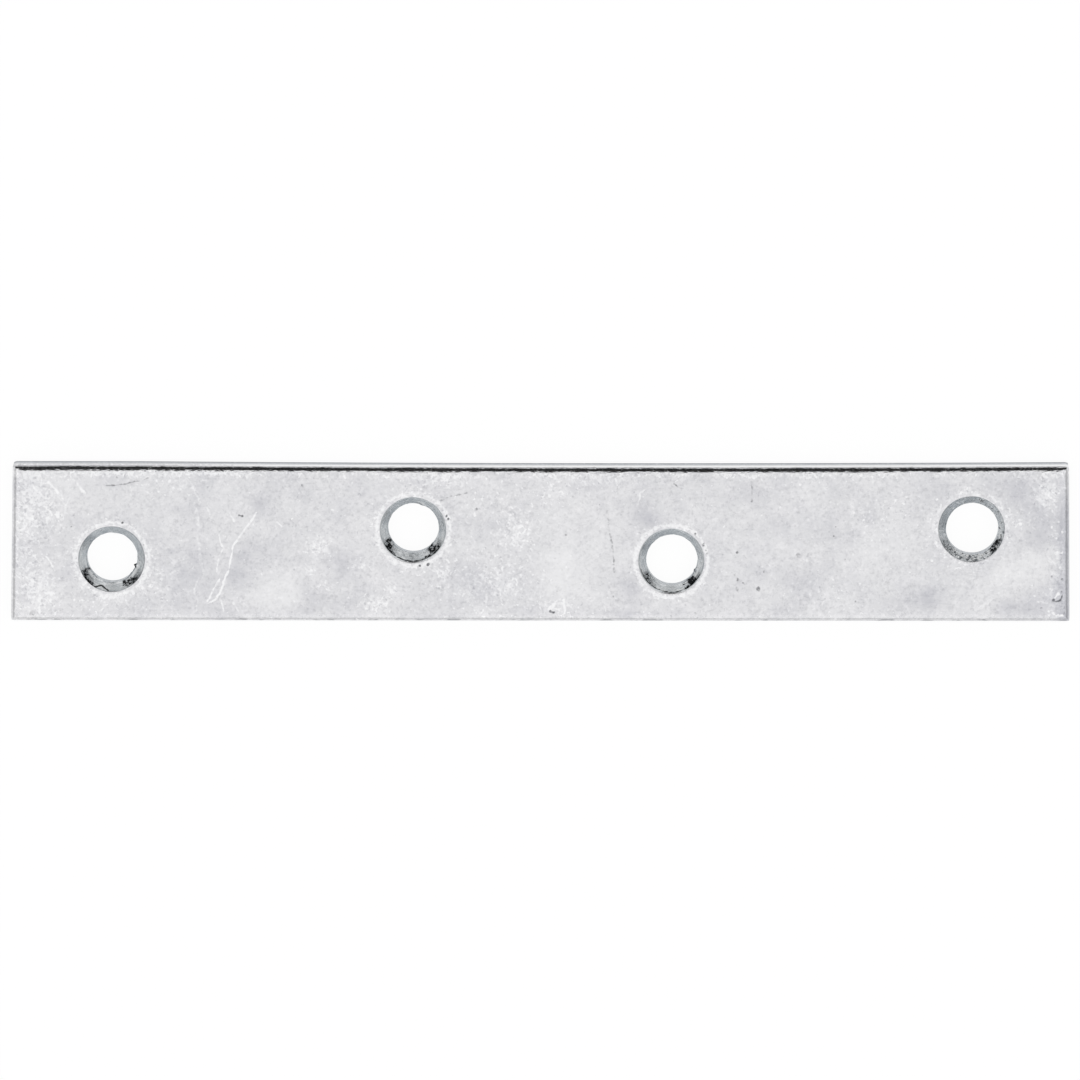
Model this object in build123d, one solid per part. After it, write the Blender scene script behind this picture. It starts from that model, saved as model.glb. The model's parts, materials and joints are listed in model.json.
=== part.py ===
from build123d import *
import os

# A flat mending plate: one piece of zinc-plated steel strip, cropped to length and punched with
# four countersunk screw holes that step from side to side of the centre line.
#
# Millimetres. The plate lies on its back. The origin is the centre of the flat back face, +X runs
# along the plate, +Y across it, and +Z comes out of the front face, where the screw heads sit.

# The strip
plate_length = 100.0
plate_width = 15.0
plate_thickness = 2.0
corner_radius = 0.3  # seen from above, where a cropped end meets a long edge

# Its edges: the shear drags the front edges down into a soft roll and leaves the back ones crisp
side_roll = 0.6  # along the two long edges
end_roll = 0.45  # across the two ends
back_break = 0.1  # tumbled off all round the back

# The screw holes, for a countersunk wood screw of 4 to 4.5 mm
hole_diameter = 4.8
countersink_diameter = 6.3  # across the cone, where it would meet the front face
countersink_angle = 90.0
mouth_radius = 0.15  # softened lip between the cone and the front face
hole_break = 0.1  # broken edge where the bore leaves the back

# Where the holes are: the butt joint that the plate mends runs across the middle
end_margin = 9.3  # from an end of the plate to the centre of the nearest hole
middle_pitch = 24.4  # along the plate, between the two holes beside the joint
stagger = 3.0  # across the plate, from one row of hole centres to the other


def edge_section(span, roll):
    """Section of the plate between two opposite edges, with its back on the base line."""
    section = Pos(0, plate_thickness / 2) * Rectangle(span, plate_thickness)
    section = chamfer(section.vertices().group_by(Axis.Y)[0], back_break)
    return fillet(section.vertices().group_by(Axis.Y)[-1], roll)


def cropped_strip():
    """The plate before punching: rolled strip, cropped to length, with its corners eased."""
    strip = extrude(Plane.YZ * edge_section(plate_width, side_roll), plate_length, both=True)
    crop = extrude(Plane.XZ * edge_section(plate_length, end_roll), plate_width, both=True)
    outline = extrude(RectangleRounded(plate_length, plate_width, corner_radius), plate_thickness)
    return strip & crop & outline


def hole_centres():
    """Centres of the four holes, from end to end, alternately below and above the centre line."""
    outer_x = plate_length / 2 - end_margin
    inner_x = middle_pitch / 2
    row_y = stagger / 2
    return [(-outer_x, -row_y), (-inner_x, row_y), (inner_x, -row_y), (outer_x, row_y)]


def punch_holes(plate):
    """Cut the countersunk holes, soften their mouths and break the edges that they leave behind."""
    for x, y in hole_centres():
        plate -= Pos(x, y, plate_thickness) * CounterSinkHole(
            radius=hole_diameter / 2,
            counter_sink_radius=countersink_diameter / 2,
            depth=plate_thickness,
            counter_sink_angle=countersink_angle,
        )
    front = plate.faces().sort_by(Axis.Z)[-1]
    plate = fillet(front.inner_wires().edges(), mouth_radius)
    back = plate.faces().sort_by(Axis.Z)[0]
    return chamfer(back.inner_wires().edges(), hole_break)


mending_plate = punch_holes(cropped_strip())
mending_plate.label = "mending_plate"

os.makedirs("parts", exist_ok=True)
export_step(mending_plate, "parts/mending_plate.step")
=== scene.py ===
"""The look of a flat mending plate: zinc-plated steel strip with four countersunk screw holes.

The plate is one piece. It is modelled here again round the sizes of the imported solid, with what the
shear, the punch, the plating barrel and handling leave on it: rolled front edges, a torn side wall,
pressed countersinks with small burrs, scratches, pits and flecks of brighter zinc.
Sizes are in millimetres where they are named, and in metres where Blender holds them. The plate
lies along X with its front up, and an angle seen from above is measured from +X towards +Y.
"""

from __future__ import annotations

import json
import logging
import math
from collections.abc import Callable, Iterator, Sequence
from dataclasses import dataclass, field
from enum import Enum, auto

import bmesh
import bpy
import numpy as np
from mathutils import Matrix, Vector, noise

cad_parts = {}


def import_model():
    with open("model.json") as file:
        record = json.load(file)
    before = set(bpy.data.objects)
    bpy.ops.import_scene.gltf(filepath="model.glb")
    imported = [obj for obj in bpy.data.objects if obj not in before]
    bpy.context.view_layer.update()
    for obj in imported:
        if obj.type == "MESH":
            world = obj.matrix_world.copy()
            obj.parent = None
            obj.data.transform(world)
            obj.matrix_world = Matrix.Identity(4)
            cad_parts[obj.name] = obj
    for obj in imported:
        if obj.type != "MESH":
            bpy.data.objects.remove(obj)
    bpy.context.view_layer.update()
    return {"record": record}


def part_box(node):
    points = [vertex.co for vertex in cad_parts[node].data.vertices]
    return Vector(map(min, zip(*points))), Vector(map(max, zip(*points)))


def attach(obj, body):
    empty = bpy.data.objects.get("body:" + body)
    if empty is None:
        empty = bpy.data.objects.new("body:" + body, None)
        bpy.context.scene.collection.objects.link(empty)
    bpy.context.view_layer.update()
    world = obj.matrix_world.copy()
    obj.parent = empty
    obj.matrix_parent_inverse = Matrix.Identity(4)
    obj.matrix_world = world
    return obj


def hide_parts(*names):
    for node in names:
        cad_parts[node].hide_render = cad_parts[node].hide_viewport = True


MM = 0.001  # one millimetre in Blender's metres
NEAR = 0.01  # millimetres within which two places count as one
NODE = "mending_plate"

log = logging.getLogger("mending_plate")

Point = tuple[float, float]


# ---------------------------------------------------------------------------------------------
# Small tools
# ---------------------------------------------------------------------------------------------


def linear(hex_colour: str) -> tuple[float, float, float, float]:
    """Turn an sRGB hex colour into the linear colour that a shader takes.

    Args:
        hex_colour: Six hex digits, with or without a leading hash.

    Returns:
        Linear red, green, blue and an alpha of 1.
    """
    digits = hex_colour.lstrip("#")
    shares = [int(digits[i : i + 2], 16) / 255 for i in (0, 2, 4)]
    curved = [s / 12.92 if s <= 0.04045 else ((s + 0.055) / 1.055) ** 2.4 for s in shares]
    return (curved[0], curved[1], curved[2], 1.0)


def add_node(
    tree: bpy.types.NodeTree,
    kind: str,
    inputs: dict[str | int, object] | None = None,
    take: str | int = 0,
    **settings: object,
) -> bpy.types.NodeSocket | None:
    """Add one shader node with its settings and its links.

    Args:
        tree: The node tree that gets the node.
        kind: The node's type after the words ShaderNode, such as Math.
        inputs: Input name or number to a value, or to the output that feeds it.
        take: Name or number of the output that is wanted.
        settings: The node's own properties, such as operation.

    Returns:
        That output, or None from a node without outputs.
    """
    node = tree.nodes.new("ShaderNode" + kind)
    for name, value in settings.items():
        setattr(node, name, value)
    for key, value in (inputs or {}).items():
        socket = node.inputs[key]
        if isinstance(value, bpy.types.NodeSocket):
            tree.links.new(value, socket)
        else:
            socket.default_value = value
    return node.outputs[take] if node.outputs else None


def smooth(low: float, high: float, value: np.ndarray) -> np.ndarray:
    """Go softly from 0 at low to 1 at high, which may be the smaller of the two."""
    t = np.clip((value - low) / (high - low), 0.0, 1.0)
    return t * t * (3.0 - 2.0 * t)


def bell(value: np.ndarray, middle: float, reach: float) -> np.ndarray:
    """Fade on both sides from 1 in the middle, to a third at the reach from it."""
    return np.exp(-(((value - middle) / reach) ** 2))


def ripple(points: np.ndarray, size: float, seed: float) -> np.ndarray:
    """Soft noise, from about -1 to 1, at each point.

    Args:
        points: Places in millimetres, one a row.
        size: Width of one ripple in millimetres.
        seed: Moves the pattern, so that two calls differ.

    Returns:
        One value for each point.
    """
    scaled = points / size + seed
    return np.array([noise.noise(Vector(p)) for p in scaled])


def off_angle(away: np.ndarray, angle: float) -> np.ndarray:
    """Degrees between each direction and an angle, seen from above."""
    turned = np.degrees(np.arctan2(away[:, 1], away[:, 0])) - angle
    return np.abs((turned + 180) % 360 - 180)


def distance_to_path(points: np.ndarray, path: Sequence[Point]) -> np.ndarray:
    """Distance from each point to the nearest place on a path, seen from above.

    Args:
        points: Places in millimetres, x and y first.
        path: The path's corners in millimetres; one corner alone is a spot.

    Returns:
        One distance in millimetres for each point.
    """
    flat = points[:, :2]
    corners = np.array(path, float)
    best = np.linalg.norm(flat - corners[0], axis=1)
    for start, end in zip(corners[:-1], corners[1:]):
        run = end - start
        share = np.clip(((flat - start) @ run) / max(run @ run, 1e-12), 0.0, 1.0)
        best = np.minimum(best, np.linalg.norm(flat - start - share[:, None] * run, axis=1))
    return best


# ---------------------------------------------------------------------------------------------
# What the plate is
# ---------------------------------------------------------------------------------------------


@dataclass(frozen=True)
class Corner:
    """One corner of the outline, in millimetres."""

    radius: float  # seen from above
    draw_in: float  # how far the crop ran in from the nominal length


@dataclass(frozen=True)
class EdgeForm:
    """What the shear leaves round the outline, in millimetres."""

    side_roll: float = 0.72  # width of the soft front edge along the sides
    end_roll: float = 0.62  # and across the ends
    roll_drop: float = 0.6  # how far it falls
    back_break: float = 0.1
    roll_steps: int = 9
    wall_steps: int = 5
    hollow: float = 0.15  # how far the +Y side is hollow
    hollow_middle: float = 6.0  # where along the plate it is deepest
    hollow_reach: float = 44.0  # and how far it runs from there
    side_zone: Point = (3.0, 0.5)  # how far in from the side the hollow starts and is full
    end_zone: Point = (3.0, 0.4)  # the same for the crop's draw-in at the ends
    dents: float = 0.02  # height of the small bruises along the rolled edges
    wall_zone: float = 0.35  # how far in from the outline the wall may lean
    corners: dict[tuple[int, int], Corner] = field(
        default_factory=lambda: {
            (-1, 1): Corner(0.28, 0.28),
            (1, 1): Corner(0.26, 0.22),
            (-1, -1): Corner(0.2, 0.0),
            (1, -1): Corner(0.14, 0.04),
        }
    )


@dataclass(frozen=True)
class HoleForm:
    """Section of a countersunk hole, in millimetres."""

    sink_radius: float = 3.15  # where the cone would meet the front face
    widest_mouth: float = 3.35  # radius that no softened mouth passes
    back_break: float = 0.1
    lip_steps: int = 6
    cone_steps: int = 6
    bore_steps: int = 5

    def mouth_radius(self, hole: ScrewHole) -> float:
        """Radius at which a hole's own cone would meet the front face."""
        return self.sink_radius + hole.work.cone_wider

    def cone_foot(self, hole: ScrewHole, thickness: float) -> float:
        """Height at which a hole's 45 degree cone meets its bore."""
        return thickness - (self.mouth_radius(hole) - hole.bore_radius)

    def profile(self, hole: ScrewHole, thickness: float) -> list[Point]:
        """Section from the front face down to the back, as radius and height.

        Args:
            hole: The hole.
            thickness: Thickness of the plate.

        Returns:
            The section's points; the first is on the front face.
        """
        slope = math.pi / 4  # half of the 90 degree countersink
        lip = hole.work.lip
        bore = hole.bore_radius
        start = self.mouth_radius(hole) + lip * math.tan(slope / 2)
        points = []
        for step in range(self.lip_steps + 1):
            turn = slope * step / self.lip_steps
            radius = start - lip * math.sin(turn)
            points.append((radius, thickness - lip * (1 - math.cos(turn))))
        top_radius, top_height = points[-1]
        for step in range(1, self.cone_steps + 1):
            down = (top_radius - bore) * step / self.cone_steps
            points.append((top_radius - down, top_height - down))
        foot = points[-1][1]
        for step in range(1, self.bore_steps + 1):
            share = step / self.bore_steps
            points.append((bore, foot + (self.back_break - foot) * share))
        points.append((bore + self.back_break, 0.0))
        return points


@dataclass(frozen=True)
class Burr:
    """A tag of torn metal that stands in from the top of a bore."""

    angle: float  # degrees round the hole
    half_width: float  # degrees
    inward: float  # millimetres


@dataclass(frozen=True)
class PaintedReflection:
    """A painted dark reflection on a stretch of a cone, where it would mirror the dark parts of the
    room.
    """

    angle: float  # degrees round the hole
    half_width: float  # degrees
    start: float  # share of the way down the cone, from 0 at the mouth to 1 at the bore
    end: float
    strength: float = 1.0


@dataclass(frozen=True)
class PaintedLipArc:
    """A painted dark reflection: a dark line that follows the cone just inside its softened mouth."""

    angle: float  # degrees round the hole to its middle
    half_width: float  # degrees
    down: float  # share of the way down the cone
    half_thickness: float = 0.08  # as such a share too


@dataclass(frozen=True)
class PunchWork:
    """How the punch left one hole: where it drifted and what it tore, in millimetres, and the dark
    reflections and shade painted on its cone.
    """

    cone: Point  # drift of the countersink from its true centre
    bore: Point  # and of the bore from the countersink
    ragged: float  # roughness of the bore's upper edge
    lip: float = 0.12  # radius that softens the cone's mouth
    cone_wider: float = 0.0  # how far it opened the countersink beyond its nominal radius
    bore_wider: float = 0.0
    grit: float = 0.0  # how much scale was pressed into the cone
    halo: float = 1.0  # how strongly the flattened rim round the mouth shines
    burrs: tuple[Burr, ...] = ()
    # painted dark reflections on the cone
    stains: tuple[PaintedReflection, ...] = ()
    # painted shade is drawn along each fold
    folds: tuple[tuple[Point, ...], ...] = ()  # laps of metal on the cone, from its centre
    # a painted dark reflection along the lip
    crease: PaintedLipArc | None = None


@dataclass(frozen=True)
class ScrewHole:
    """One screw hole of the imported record, as it was punched, in millimetres."""

    name: str
    centre: Point
    bore: float
    work: PunchWork

    @property
    def cone_centre(self) -> Point:
        """Centre of the countersink."""
        return (self.centre[0] + self.work.cone[0], self.centre[1] + self.work.cone[1])

    @property
    def bore_centre(self) -> Point:
        """Centre of the bore."""
        return (self.cone_centre[0] + self.work.bore[0], self.cone_centre[1] + self.work.bore[1])

    @property
    def bore_radius(self) -> float:
        """Radius of the bore as it was pierced."""
        return self.bore + self.work.bore_wider


class Tone(Enum):
    """How a mark looks against the zinc."""

    BRIGHT = 1.0  # a raised, freshly torn line of zinc that catches the light
    DARK = -1.0  # a cut or pit that holds shade


@dataclass(frozen=True)
class Mark:
    """A scratch, fleck or pit on the front face, in millimetres from the plate's centre."""

    tone: Tone
    width: float
    depth: float
    strength: float
    path: tuple[Point, ...]


class Touch(Enum):
    """What handling and the plating barrel did to a stretch of the front face."""

    RUBBED = auto()  # smeared smooth and pale
    DULLED = auto()  # left dull
    PEPPERED = auto()  # pecked all over by the other parts in the barrel


@dataclass(frozen=True)
class Patch:
    """A soft-edged stretch of the front face, in millimetres and degrees."""

    centre: Point
    reach: Point  # half length along the turn and half width across it
    strength: float
    turn: float = 0.0


@dataclass(frozen=True)
class Traces:
    """Where wear, and the painted shade at the mouths and the cones' feet, follow the plate's own
    form, in millimetres.

    A pair says where a trace starts and where it is full.
    """

    pecked: Point = (1.5, 0.2)  # out from each mouth, where the barrel's other parts struck
    pecked_share: float = 0.6
    line_in: float = 0.8  # from the +Y side to the pale line beside its rolled edge
    line_reach: float = 0.34
    ring_out: float = 0.36  # from each mouth to the scuffed ring round it
    ring_reach: float = 0.24
    line_in_ring: float = 0.4  # how much of the ring's shine the pale line has
    rolled: Point = (0.8, 0.5)  # in from the outline
    side_band: float = 1.0  # in from the +Y side, where its roll may be dulled
    dull_end: Point = (-44.5, -48.0)  # along the plate, where that roll turns dull
    dull_end_share: float = 0.42
    dull_spot: Point = (-39.8, 0.8)  # along the plate, the middle and reach of a dull spot on it
    dull_spot_share: float = 0.4
    polished: Point = (0.2, 0.1)  # in from the +Y side, where it is rubbed bright
    polish_grows: Point = (-36.0, -22.0)  # along the plate
    least_polish: float = 0.45
    sill: Point = (0.4, 0.2)  # in from the -Y side, where dark specks lie
    torn: Point = (0.95, 0.6)  # heights at which the walls go from burnished to torn
    # The next three place painted shade: a darker ring just inside each mouth and one at each cone's
    # foot
    lip: Point = (-0.2, -0.02)  # out from each mouth, so this is just inside it
    lip_end: float = 0.05  # and this just outside it
    foot: Point = (-0.72, -0.8)  # out from each mouth too, so this is at the cone's foot


# The stretches listed as stains are painted dark reflections on the cones, and the creases and folds
# carry painted shade.
PUNCH_WORK = {
    "screw_hole_1": PunchWork(
        cone=(0.26, -0.05),
        bore=(0.05, 0.04),
        ragged=0.035,
        halo=0.98,
        grit=0.15,
        burrs=(Burr(-18.0, 3.2, 0.24), Burr(-38.0, 14.0, 0.1), Burr(-146.0, 9.0, 0.06)),
        stains=(
            PaintedReflection(205.0, 4.0, 0.0, 1.05, 1.1),
            PaintedReflection(222.0, 15.0, -0.1, 0.34, 1.2),
            PaintedReflection(212.0, 5.0, 0.2, 0.7, 0.9),
            PaintedReflection(297.0, 6.0, 0.45, 0.95, 1.1),
            PaintedReflection(306.0, 12.0, 0.1, 0.8),
            PaintedReflection(318.0, 9.0, 0.0, 0.6, 0.95),
            PaintedReflection(330.0, 12.0, 0.0, 0.9, 0.35),
            PaintedReflection(342.0, 5.0, 0.84, 1.5, 1.5),
            PaintedReflection(353.0, 3.0, 0.2, 0.5, 0.6),
        ),
        folds=(
            (
                (-2.15, -2.25), (-1.8, -2.58), (-1.5, -2.68), (-1.28, -2.62), (-1.08, -2.57),
                (-0.9, -2.63), (-0.7, -2.78), (-0.5, -2.93), (-0.35, -3.02),
            ),
        ),
    ),
    "screw_hole_2": PunchWork(
        cone=(0.175, -0.22),
        bore=(0.05, 0.06),
        ragged=0.03,
        lip=0.36,
        cone_wider=-0.03,
        burrs=(Burr(-42.0, 12.0, 0.12), Burr(72.0, 10.0, 0.05), Burr(-148.0, 8.0, 0.06)),
        stains=(
            PaintedReflection(206.0, 6.0, 0.35, 1.0, 1.05),
            PaintedReflection(216.0, 7.0, 0.15, 0.75, 1.15),
            PaintedReflection(228.0, 7.0, 0.15, 0.4, 1.0),
            PaintedReflection(314.0, 10.0, 0.3, 1.0, 1.2),
            PaintedReflection(325.0, 8.0, 0.15, 0.7, 1.0),
            PaintedReflection(298.0, 10.0, 0.12, 0.4, 1.1),
            PaintedReflection(270.0, 3.0, 0.5, 0.6, 0.8),
            PaintedReflection(268.0, 34.0, 0.35, 0.95, 0.45),
            PaintedReflection(76.0, 9.0, 0.75, 1.1, 0.7),
        ),
        crease=PaintedLipArc(angle=267.0, half_width=62.0, down=0.17),
    ),
    "screw_hole_3": PunchWork(
        cone=(0.135, -0.19),
        bore=(0.07, 0.0),
        ragged=0.025,
        lip=0.38,
        cone_wider=-0.04,
        bore_wider=0.04,
        burrs=(Burr(-24.0, 6.0, 0.14), Burr(-45.0, 14.0, 0.12)),
        stains=(
            PaintedReflection(214.0, 8.0, 0.25, 1.0, 0.9),
            PaintedReflection(226.0, 12.0, 0.12, 0.45, 0.9),
            PaintedReflection(316.0, 10.0, 0.15, 0.9, 1.35),
            PaintedReflection(303.0, 8.0, 0.12, 0.4, 1.2),
            PaintedReflection(300.0, 6.0, 0.65, 0.85, 0.9),
            PaintedReflection(336.0, 4.0, 0.7, 1.2, 0.9),
        ),
        crease=PaintedLipArc(angle=262.0, half_width=72.0, down=0.2),
    ),
    "screw_hole_4": PunchWork(
        cone=(-0.085, -0.095),
        bore=(0.1, -0.09),
        ragged=0.015,
        bore_wider=0.08,
        lip=0.2,
        halo=0.42,
        grit=1.0,
        burrs=(Burr(-38.0, 9.0, 0.06),),
        stains=(
            PaintedReflection(316.0, 8.0, 0.1, 1.0, 1.1),
            PaintedReflection(331.0, 9.0, 0.3, 1.1, 1.1),
            PaintedReflection(265.0, 20.0, 0.2, 0.9, 0.5),
            PaintedReflection(210.0, 12.0, 0.3, 0.9, 0.5),
            PaintedReflection(82.0, 20.0, 0.1, 0.9, 0.45),
            PaintedReflection(35.0, 18.0, 0.3, 0.9, 0.35),
        ),
    ),
}

# Each scratch or cut: its width, depth, strength and then the path that it follows
SCRATCHES = {
    Tone.BRIGHT: (
        (0.19, 0.012, 0.88, (-26.75, 2.9), (-27.6, 1.6), (-28.5, 0.45), (-29.0, -0.3), (-29.15, -1.3),
         (-29.4, -2.5), (-29.9, -3.8), (-30.2, -4.8), (-30.7, -5.4), (-31.35, -5.8)),
        (0.17, 0.01, 0.7, (-30.3, 0.7), (-29.9, -0.5), (-30.4, -1.4), (-30.5, -2.8)),
        (0.2, 0.01, 0.8, (-30.25, -3.5), (-30.9, -4.4), (-31.35, -5.6)),
        (0.3, 0.006, 0.42, (-32.6, 3.8), (-32.3, 2.4), (-32.25, 0.4), (-32.1, -1.6), (-31.7, -3.3)),
        (0.24, 0.006, 0.45, (-32.7, 5.4), (-32.1, 3.8)),
        (0.2, 0.005, 0.5, (-32.3, -3.5), (-32.7, -4.5), (-32.4, -5.6), (-32.5, -6.9)),
        (0.2, 0.005, 0.35, (-35.2, -4.2), (-34.2, -7.0)),
        (0.24, 0.006, 0.5, (-35.3, -3.2), (-34.5, -2.7)),
        (0.22, 0.006, 0.5, (-31.4, 3.4), (-31.0, 2.4)),
        (0.18, 0.006, 0.7, (-29.25, 2.95), (-28.9, 2.1)),
        (0.2, 0.006, 0.8, (-30.2, -5.4), (-29.95, -6.5)),
        (0.2, 0.006, 0.6, (-29.0, -5.7), (-28.5, -6.5)),
        (0.26, 0.006, 0.9, (-46.3, 5.75), (-45.1, 4.55)),
        (0.26, 0.006, 0.6, (-44.0, 6.1), (-43.35, 5.2), (-42.9, 4.7)),
        (0.26, 0.006, 0.6, (-48.1, 5.6), (-46.7, 4.3)),
        (0.2, 0.006, 0.5, (-44.4, 4.3), (-45.0, 2.3)),
        (0.2, 0.006, 0.75, (-46.6, -1.35), (-45.8, -2.5)),
        (0.2, 0.006, 0.6, (-48.6, -3.2), (-47.9, -3.8)),
        (0.36, 0.006, 0.8, (-45.5, 2.95), (-45.5, 2.5)),
        (0.36, 0.006, 0.8, (-48.4, 2.4), (-47.9, 2.2)),
        (0.32, 0.006, 0.42, (43.5, -4.6), (42.3, -5.5), (41.4, -6.2)),
        (0.2, 0.006, 0.85, (48.6, -5.1), (48.9, -4.7)),
        (0.16, 0.005, 0.4, (46.05, 3.1), (46.1, 1.7)),
        (0.2, 0.006, 0.6, (46.3, 1.65), (46.6, 1.4)),
        (0.28, 0.006, 0.75, (0.8, -6.3), (1.3, -5.8)),
        (0.26, 0.006, 0.8, (2.2, -5.4), (2.3, -6.7)),
        (0.2, 0.005, 0.6, (9.75, 5.15), (9.4, 4.8), (9.35, 4.3), (9.2, 3.8)),
        (0.22, 0.006, 0.7, (-24.9, 2.0), (-24.4, 1.6)),
        (0.2, 0.006, 0.7, (-9.6, -3.3), (-9.0, -2.6)),
    ),
    Tone.DARK: (
        (0.13, 0.012, 0.52, (-40.9, 5.45), (-39.7, 5.55), (-38.3, 5.85), (-36.9, 6.2)),
        (0.18, 0.005, 0.4, (-9.4, 4.1), (-8.1, 4.5), (-6.7, 4.95)),
        (0.13, 0.006, 0.35, (-5.1, -2.3), (-4.0, -3.2)),
        (0.18, 0.002, 0.26, (6.1, 4.4), (6.3, 2.6), (6.45, 1.3)),
        (0.2, 0.003, 0.42, (6.55, 0.9), (6.8, -0.8), (6.95, -2.7)),
        (0.16, 0.004, 0.3, (7.25, 4.5), (7.25, 5.5)),
        (0.18, 0.004, 0.42, (19.85, 6.0), (19.9, 4.1)),
        (0.18, 0.006, 0.6, (12.6, 5.75), (13.0, 5.4), (13.4, 5.3)),
        (0.24, 0.01, 0.8, (0.95, -6.5), (1.25, -6.6)),
        (0.2, 0.012, 0.85, (-28.4, 2.68), (-28.05, 2.62)),
        (0.18, 0.01, 0.7, (48.45, -5.4), (48.6, -5.55), (49.1, -5.4), (49.35, -4.9)),
        (0.3, 0.01, 0.5, (49.5, -6.2), (49.7, -6.9)),
    ),
}

# Each round fleck or pit: its place in x and y, its width and its strength
SPOTS = {
    Tone.DARK: (
        (-39.4, 1.95, 0.26, 0.9), (-37.4, -0.2, 0.24, 0.6), (-44.2, 1.6, 0.2, 0.5),
        (-39.9, 6.3, 0.18, 0.5), (-22.4, 5.5, 0.2, 0.5), (-22.0, -3.9, 0.18, 0.4),
        (-6.05, 3.2, 0.3, 0.5), (-8.85, 2.6, 0.28, 0.8), (-8.65, 2.3, 0.28, 0.8),
        (-11.4, -2.15, 0.3, 0.8), (-10.6, -2.0, 0.34, 0.9), (2.4, 0.85, 0.2, 0.6),
        (5.55, 3.75, 0.18, 0.5), (6.8, -5.1, 0.18, 0.5), (14.6, 0.85, 0.2, 0.5),
        (15.4, -0.1, 0.28, 0.6), (15.55, -0.65, 0.26, 0.55), (15.65, -1.0, 0.26, 0.5),
        (14.6, 0.95, 0.24, 0.6), (14.7, -6.7, 0.22, 0.4), (15.5, -6.7, 0.24, 0.5),
        (14.45, -7.2, 0.32, 0.6), (18.6, -0.85, 0.36, 0.65), (18.65, -3.45, 0.36, 0.7),
        (19.1, -3.75, 0.26, 0.55), (18.55, -4.4, 0.4, 0.6), (20.6, -4.3, 0.42, 0.65),
        (18.35, -3.0, 0.28, 0.45), (21.1, -2.7, 0.22, 0.5), (19.5, 2.0, 0.18, 0.5),
        (23.5, 0.6, 0.18, 0.5), (24.3, -1.1, 0.5, 0.36), (26.55, 2.7, 0.18, 0.4),
        (27.8, 1.65, 0.2, 0.5), (27.6, 0.75, 0.22, 0.6), (27.4, 1.4, 0.2, 0.4),
        (28.7, -1.5, 0.2, 0.4), (28.6, -2.2, 0.2, 0.4), (29.75, -5.5, 0.24, 0.5),
        (32.5, -1.5, 0.22, 0.4), (32.7, -3.7, 0.22, 0.35), (48.45, -5.35, 0.3, 0.8),
        (48.25, -3.1, 0.26, 0.6), (48.8, -3.35, 0.24, 0.5), (49.3, -3.45, 0.32, 0.85),
        (49.25, -2.6, 0.26, 0.6), (49.2, -4.6, 0.26, 0.5), (47.25, -6.15, 0.24, 0.55),
        (48.45, -7.15, 0.34, 0.6), (49.4, -6.65, 0.34, 0.6), (49.65, -7.15, 0.5, 0.8),
        (49.6, -5.9, 0.4, 0.5), (-48.0, -6.7, 0.7, 0.3),
    ),
    Tone.BRIGHT: (
        (-20.9, -0.7, 0.38, 0.7), (-20.3, -1.1, 0.28, 0.6), (-21.6, -2.6, 0.32, 0.7),
        (-20.8, -3.9, 0.28, 0.6), (-19.65, 3.1, 0.3, 0.6), (-21.9, 2.6, 0.24, 0.5),
        (-17.5, -2.1, 0.32, 0.6), (-16.9, -2.3, 0.24, 0.6), (-16.1, -5.8, 0.32, 0.8),
        (-15.2, -6.0, 0.32, 0.7), (-14.0, -4.5, 0.36, 0.6), (-15.3, -5.2, 0.22, 0.6),
        (-2.9, 1.4, 0.32, 0.6), (-1.3, 1.9, 0.32, 0.6), (-1.2, 0.8, 0.32, 0.7),
        (-3.7, -0.1, 0.28, 0.6), (-1.1, -1.3, 0.32, 0.5), (0.65, 2.95, 0.22, 0.6),
        (2.15, 4.55, 0.24, 0.6), (20.9, -2.25, 0.26, 0.6), (24.5, 5.7, 0.28, 0.7),
        (31.7, 4.2, 0.3, 0.8), (48.3, -4.35, 0.26, 0.6), (48.95, -4.75, 0.26, 0.7),
        (48.0, -6.5, 0.3, 0.6), (48.45, -6.7, 0.3, 0.7), (48.9, -6.85, 0.28, 0.8),
        (49.15, -2.35, 0.26, 0.7), (47.4, 3.75, 0.26, 0.6), (48.45, 3.7, 0.26, 0.6),
        (48.95, 2.1, 0.3, 0.6), (49.3, 1.1, 0.28, 0.7), (49.25, -0.85, 0.26, 0.6),
        (33.4, 4.2, 0.28, 0.7), (30.4, 2.2, 0.28, 0.8), (29.5, 2.9, 0.22, 0.6),
        (30.5, 1.1, 0.28, 0.6), (29.5, -1.1, 0.26, 0.6), (34.9, 1.4, 0.26, 0.6),
        (37.2, 0.1, 0.3, 0.8), (36.9, -1.65, 0.26, 0.7), (37.3, 4.2, 0.26, 0.7),
        (44.9, 3.0, 0.3, 0.6), (45.2, 1.9, 0.32, 0.7), (47.4, 3.8, 0.28, 0.8),
        (47.2, 5.6, 0.32, 0.6), (48.5, 5.3, 0.32, 0.6), (48.2, 1.6, 0.26, 0.7),
        (48.8, -0.8, 0.28, 0.7), (49.1, -2.3, 0.28, 0.7), (48.0, -6.8, 0.32, 0.6),
        (49.2, -6.9, 0.36, 0.9), (48.7, -7.0, 0.26, 0.7), (46.6, -5.0, 0.28, 0.7),
        (46.9, -5.6, 0.24, 0.6), (48.1, -4.3, 0.26, 0.6), (48.9, -1.4, 0.24, 0.6),
        (48.7, 0.6, 0.26, 0.6), (46.1, 5.6, 0.24, 0.5), (47.9, 4.6, 0.26, 0.6),
    ),
}
SPOT_DEPTHS = {Tone.DARK: 0.012, Tone.BRIGHT: 0.006}

MARKS = tuple(
    Mark(tone, width, depth, strength, tuple(path))
    for tone, rows in SCRATCHES.items()
    for width, depth, strength, *path in rows
) + tuple(
    Mark(tone, width, SPOT_DEPTHS[tone], strength, ((x, y),))
    for tone, rows in SPOTS.items()
    for x, y, width, strength in rows
)

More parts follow.
